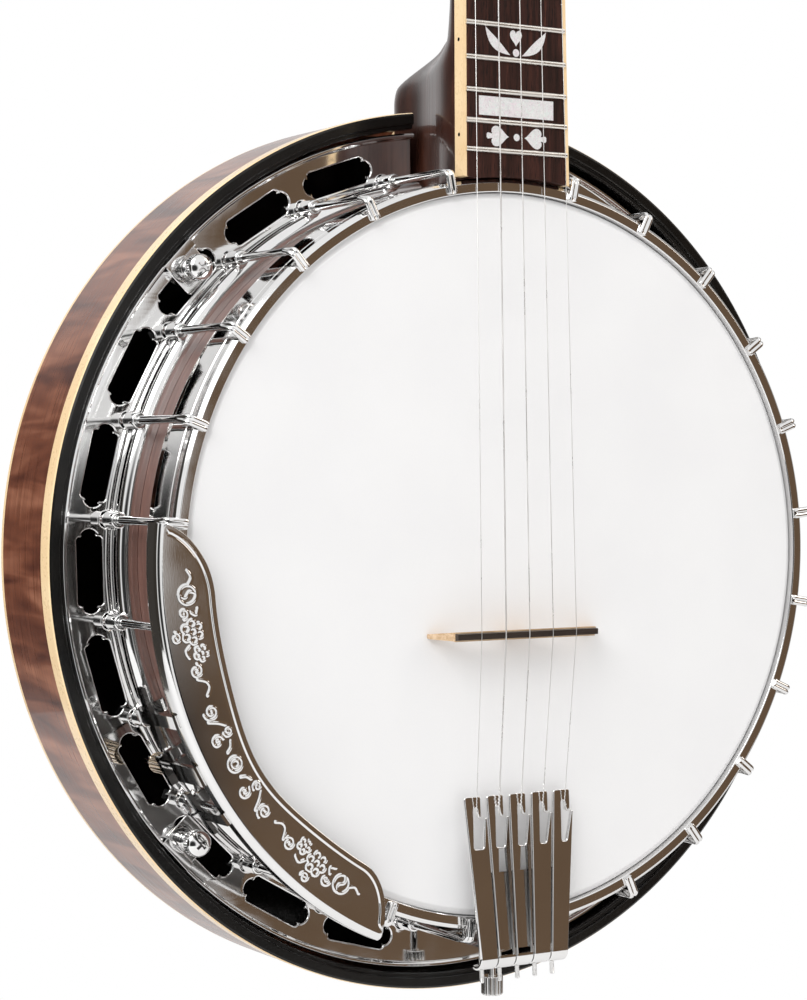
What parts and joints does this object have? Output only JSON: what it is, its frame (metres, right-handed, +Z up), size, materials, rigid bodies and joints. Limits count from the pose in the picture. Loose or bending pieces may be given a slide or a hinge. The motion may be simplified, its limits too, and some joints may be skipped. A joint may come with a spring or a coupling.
{
  "type": "banjo",
  "caption": "Resonator banjo with a drum-head pot, ringed hooks, perforated flange, fretted neck, geared pegs, finger tailpiece and clamp-on armrest.",
  "frame": {"origin": "the point at the nut, in the middle of the neck's thickness, where a hanger's yoke holds the instrument", "axes": "+Z up along the neck from the pot towards the pegs, +Y out of the resonator's back, +X to the right as seen from in front of the drum head"},
  "size_m": [0.3538, 0.11, 0.9694],
  "materials": {
    "rim_maple": "satin lacquer",
    "tone_ring_plate": "polished nickel plate",
    "head_film": "frosted coated film",
    "chrome_plate": "polished chrome plate",
    "armrest_brass": "worn nickel-brass",
    "side_wood": "gloss lacquer over figured brown wood",
    "cream_binding": "polished binding",
    "black_lacquer": "gloss black lacquer",
    "neck_wood": "gloss dark lacquer",
    "rosewood": "oiled",
    "pearl": "polished mother-of-pearl",
    "fret_wire": "polished nickel silver",
    "bone": "polished bone",
    "overlay_ebony": "gloss black veneer",
    "rod_steel": "plain steel",
    "bridge_maple": "bare maple",
    "ebony": "oiled dark wood",
    "string_steel": "bright wire",
    "pearloid": "polished pearloid"
  },
  "bodies": {
    "pot_and_neck": {"wood_rim": "rim_maple", "tone_ring": "tone_ring_plate", "drum_head": "head_film", "tension_hoop": "chrome_plate", "flange": "chrome_plate", "bracket_hooks": "chrome_plate", "bracket_nuts": "chrome_plate", "screw_washers": "chrome_plate", "neck": "neck_wood", "heel_cap": "cream_binding", "fingerboard": "rosewood", "fingerboard_binding": "cream_binding", "fingerboard_inlays": "pearl", "frets": "fret_wire", "side_dots": "black_lacquer", "string_nut": "bone", "fifth_string_nut": "bone", "headstock_overlay": "overlay_ebony", "truss_rod": "rod_steel", "truss_rod_cover": "black_lacquer", "cover_screws": "chrome_plate", "coordinator_rods": "chrome_plate", "rod_nuts": "chrome_plate", "bridge_body": "bridge_maple", "bridge_cap": "ebony", "strings": "string_steel", "string_tails": "string_steel", "tailpiece_bracket": "chrome_plate", "tailpiece_fingers": "chrome_plate", "finger_screws": "chrome_plate", "tailpiece_bolt": "chrome_plate", "armrest_plate": "chrome_plate", "armrest_brackets": "chrome_plate", "armrest_foot": "chrome_plate", "peg_housings": "chrome_plate", "peg_bushings": "chrome_plate", "fifth_peg_body": "chrome_plate"},
    "resonator": {"resonator_side": "side_wood", "resonator_back": "side_wood", "resonator_front_binding": "cream_binding", "resonator_back_binding": "cream_binding", "resonator_lip": "black_lacquer", "resonator_lugs": "chrome_plate"},
    "resonator_screw_1": {"resonator_screw_1": "chrome_plate"},
    "resonator_screw_2": {"resonator_screw_2": "chrome_plate"},
    "resonator_screw_3": {"resonator_screw_3": "chrome_plate"},
    "resonator_screw_4": {"resonator_screw_4": "chrome_plate"},
    "peg_button_1": {"peg_button_1": "pearloid"},
    "peg_post_1": {"peg_post_1": "chrome_plate"},
    "peg_button_2": {"peg_button_2": "pearloid"},
    "peg_post_2": {"peg_post_2": "chrome_plate"},
    "peg_button_3": {"peg_button_3": "pearloid"},
    "peg_post_3": {"peg_post_3": "chrome_plate"},
    "peg_button_4": {"peg_button_4": "pearloid"},
    "peg_post_4": {"peg_post_4": "chrome_plate"},
    "fifth_peg_button": {"fifth_peg_button": "pearloid"},
    "fifth_peg_spool": {"fifth_peg_spool": "chrome_plate"},
    "tailpiece_nut": {"tailpiece_nut": "chrome_plate"},
    "armrest_nut": {"armrest_nut": "armrest_brass"}
  },
  "joints": [
    {"name": "resonator_slide", "type": "slide", "parent": "pot_and_neck", "child": "resonator", "axis": [0, 1, 0], "range_m": [0, 0.1]},
    {"name": "resonator_screw_1_turn", "type": "hinge", "parent": "pot_and_neck", "child": "resonator_screw_1", "pos_m": [-0.11579, 0.033, -0.52973], "axis": [0, -1, 0], "continuous": true},
    {"name": "resonator_screw_2_turn", "type": "hinge", "parent": "pot_and_neck", "child": "resonator_screw_2", "pos_m": [-0.11751, 0.033, -0.74844], "axis": [0, -1, 0], "continuous": true},
    {"name": "resonator_screw_3_turn", "type": "hinge", "parent": "pot_and_neck", "child": "resonator_screw_3", "pos_m": [0.11579, 0.033, -0.52973], "axis": [0, -1, 0], "continuous": true},
    {"name": "resonator_screw_4_turn", "type": "hinge", "parent": "pot_and_neck", "child": "resonator_screw_4", "pos_m": [0.11751, 0.033, -0.74844], "axis": [0, -1, 0], "continuous": true},
    {"name": "peg_button_1_turn", "type": "hinge", "parent": "pot_and_neck", "child": "peg_button_1", "pos_m": [-0.0205, 0.00328, 0.0383], "axis": [0, -0.9759, 0.2181], "continuous": true},
    {"name": "peg_post_1_turn", "type": "hinge", "parent": "pot_and_neck", "child": "peg_post_1", "pos_m": [-0.0205, 0.00328, 0.0383], "axis": [0, -0.9759, 0.2181], "continuous": true},
    {"name": "peg_button_2_turn", "type": "hinge", "parent": "pot_and_neck", "child": "peg_button_2", "pos_m": [-0.0185, 0.01506, 0.09099], "axis": [0, -0.9759, 0.2181], "continuous": true},
    {"name": "peg_post_2_turn", "type": "hinge", "parent": "pot_and_neck", "child": "peg_post_2", "pos_m": [-0.0185, 0.01506, 0.09099], "axis": [0, -0.9759, 0.2181], "continuous": true},
    {"name": "peg_button_3_turn", "type": "hinge", "parent": "pot_and_neck", "child": "peg_button_3", "pos_m": [0.0185, 0.01506, 0.09099], "axis": [0, -0.9759, 0.2181], "continuous": true},
    {"name": "peg_post_3_turn", "type": "hinge", "parent": "pot_and_neck", "child": "peg_post_3", "pos_m": [0.0185, 0.01506, 0.09099], "axis": [0, -0.9759, 0.2181], "continuous": true},
    {"name": "peg_button_4_turn", "type": "hinge", "parent": "pot_and_neck", "child": "peg_button_4", "pos_m": [0.0205, 0.00328, 0.0383], "axis": [0, -0.9759, 0.2181], "continuous": true},
    {"name": "peg_post_4_turn", "type": "hinge", "parent": "pot_and_neck", "child": "peg_post_4", "pos_m": [0.0205, 0.00328, 0.0383], "axis": [0, -0.9759, 0.2181], "continuous": true},
    {"name": "fifth_peg_button_turn", "type": "hinge", "parent": "pot_and_neck", "child": "fifth_peg_button", "pos_m": [-0.02337, -0.00123, -0.16315], "axis": [-1, 0, 0], "continuous": true},
    {"name": "fifth_peg_spool_turn", "type": "hinge", "parent": "pot_and_neck", "child": "fifth_peg_spool", "pos_m": [-0.02337, -0.00123, -0.16315], "axis": [-1, 0, 0], "continuous": true},
    {"name": "tailpiece_nut_turn", "type": "hinge", "parent": "pot_and_neck", "child": "tailpiece_nut", "pos_m": [0.0027, 0.0065, -0.812], "axis": [0, 0, 1], "continuous": true},
    {"name": "armrest_nut_turn", "type": "hinge", "parent": "pot_and_neck", "child": "armrest_nut", "pos_m": [-0.13662, 0.016, -0.71573], "axis": [0, -1, 0], "continuous": true}
  ],
  "couplings": [
    {"joint": "peg_post_1_turn", "follows": "peg_button_1_turn", "ratio": 0.25},
    {"joint": "peg_post_2_turn", "follows": "peg_button_2_turn", "ratio": 0.25},
    {"joint": "peg_post_3_turn", "follows": "peg_button_3_turn", "ratio": 0.25},
    {"joint": "peg_post_4_turn", "follows": "peg_button_4_turn", "ratio": 0.25},
    {"joint": "fifth_peg_spool_turn", "follows": "fifth_peg_button_turn", "ratio": 0.25}
  ]
}
